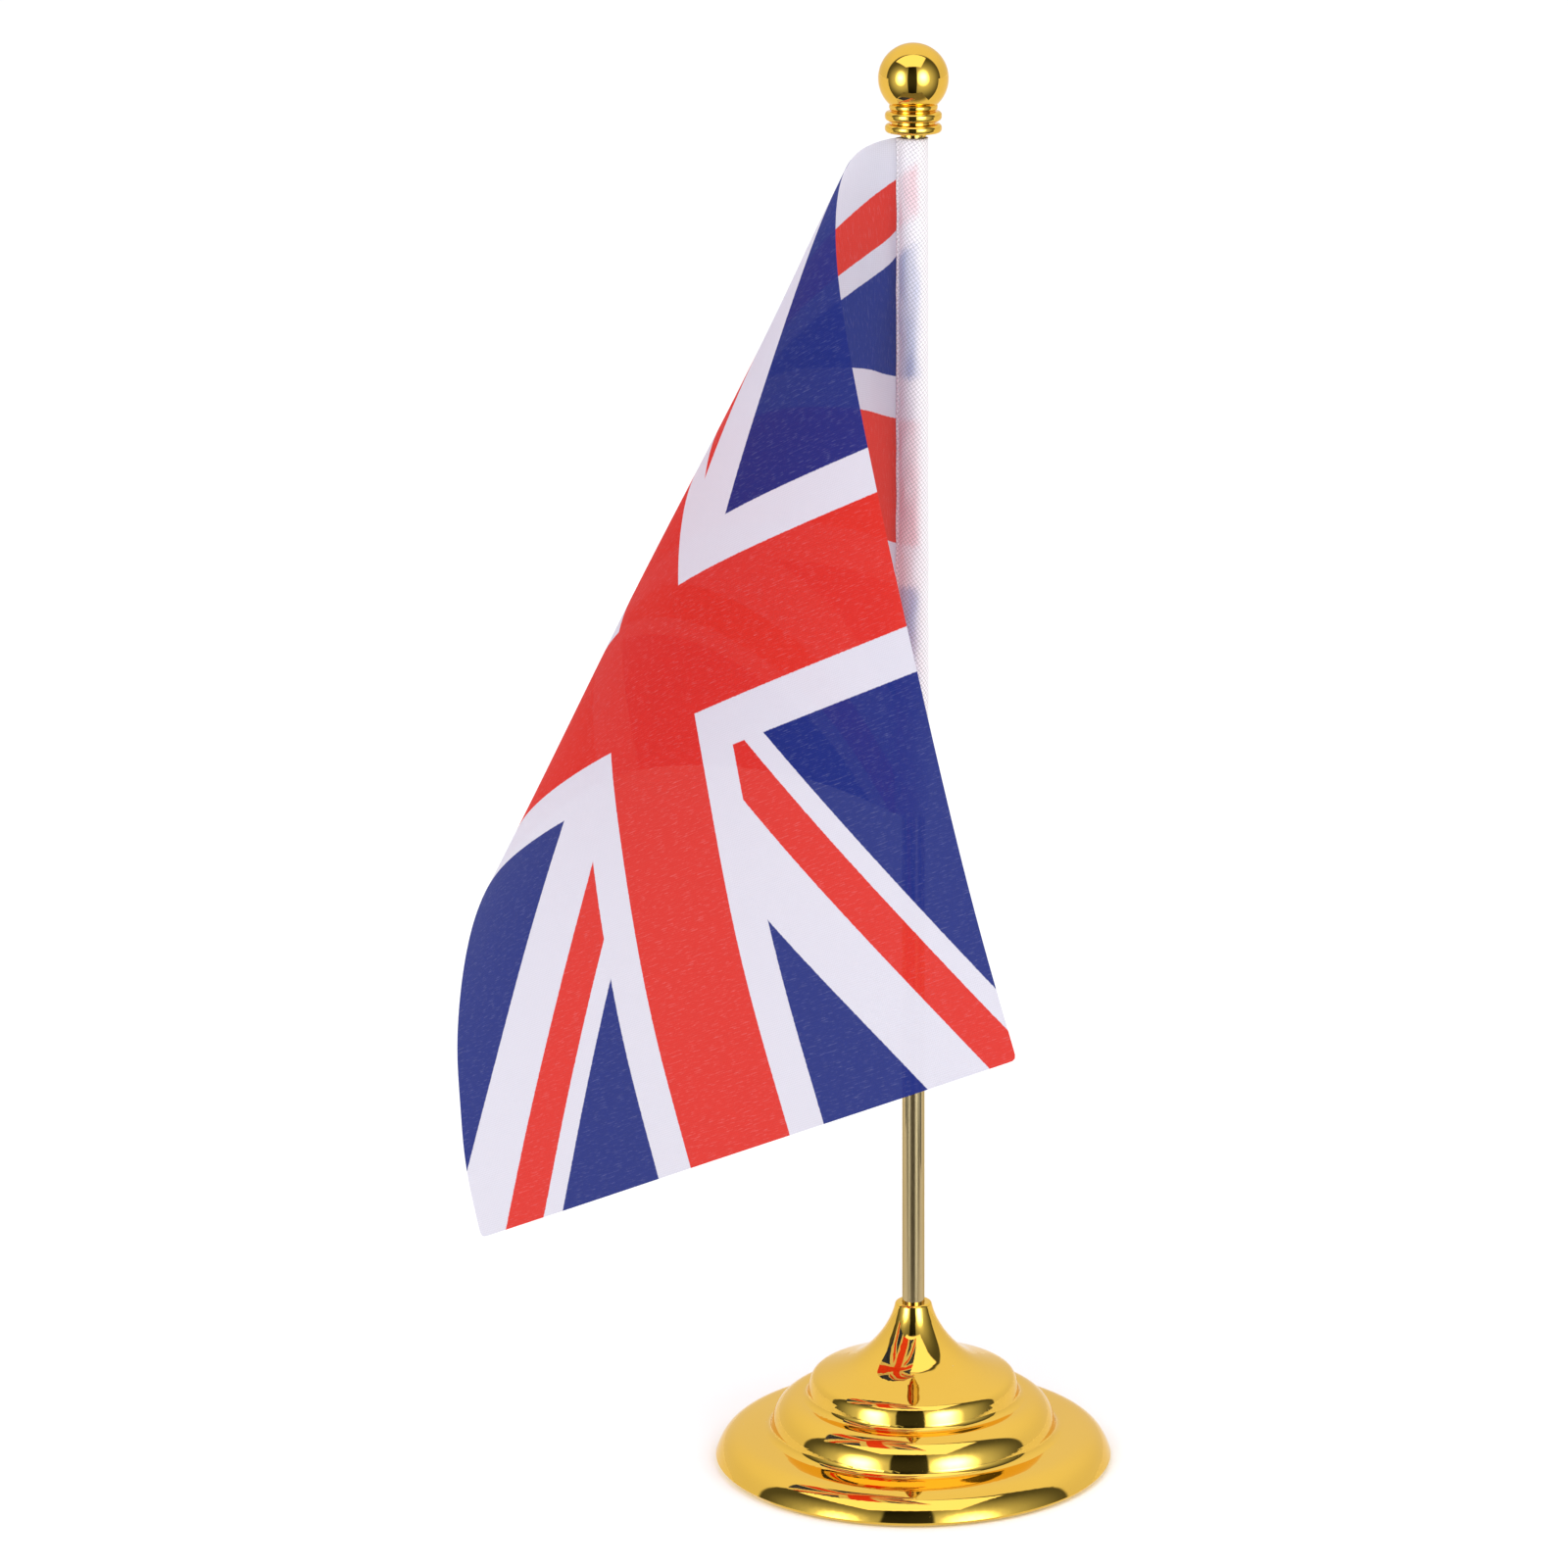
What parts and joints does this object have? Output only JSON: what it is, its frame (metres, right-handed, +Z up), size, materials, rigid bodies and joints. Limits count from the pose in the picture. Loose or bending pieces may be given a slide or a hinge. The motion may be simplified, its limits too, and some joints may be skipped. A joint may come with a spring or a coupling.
{
  "type": "desk flag stand",
  "caption": "Small cloth flag on a thin tube pole with a ball finial, standing in a weighted stepped dome base.",
  "frame": {"origin": "middle of the felt pad's underside, on the pole's axis, on the surface that the stand rests on", "axes": "+Z up along the pole; the flag leaves the pole towards -X, passes behind it on the +Y side and returns in front on the -Y side"},
  "size_m": [0.1365, 0.1338, 0.3],
  "materials": {
    "gold_plating": "mirror gold plating",
    "pole_metal": "pale gold drawn tube, faintly brushed along its length",
    "cast_weight": "rough cast",
    "cover_plastic": "fine matt moulding",
    "screw_steel": "zinc plated",
    "felt": "short felt nap",
    "sleeve_ribbon": "white satin ribbon",
    "thread": "polyester sewing thread",
    "flag_polyester": "thin plain-weave polyester, printed in red, white and blue"
  },
  "bodies": {
    "base": {"base_shell": "gold_plating", "ballast_disc": "cast_weight", "base_cover": "cover_plastic", "cover_screws": "screw_steel", "felt_pad": "felt"},
    "pole": {"pole_tube": "pole_metal"},
    "finial": {"finial": "gold_plating"},
    "flag": {"flag_cloth": "flag_polyester", "flag_sleeve": "sleeve_ribbon", "sleeve_stitching": "thread"}
  },
  "joints": [
    {"name": "pole_lift", "type": "slide", "parent": "base", "child": "pole", "axis": [0, 0, 1], "range_m": [0, 0.027]},
    {"name": "finial_pull", "type": "slide", "parent": "pole", "child": "finial", "axis": [0, 0, 1], "range_m": [0, 0.0105]},
    {"name": "flag_swivel", "type": "hinge", "parent": "pole", "child": "flag", "pos_m": [0, 0, 0.211], "axis": [0, 0, 1], "continuous": true}
  ]
}
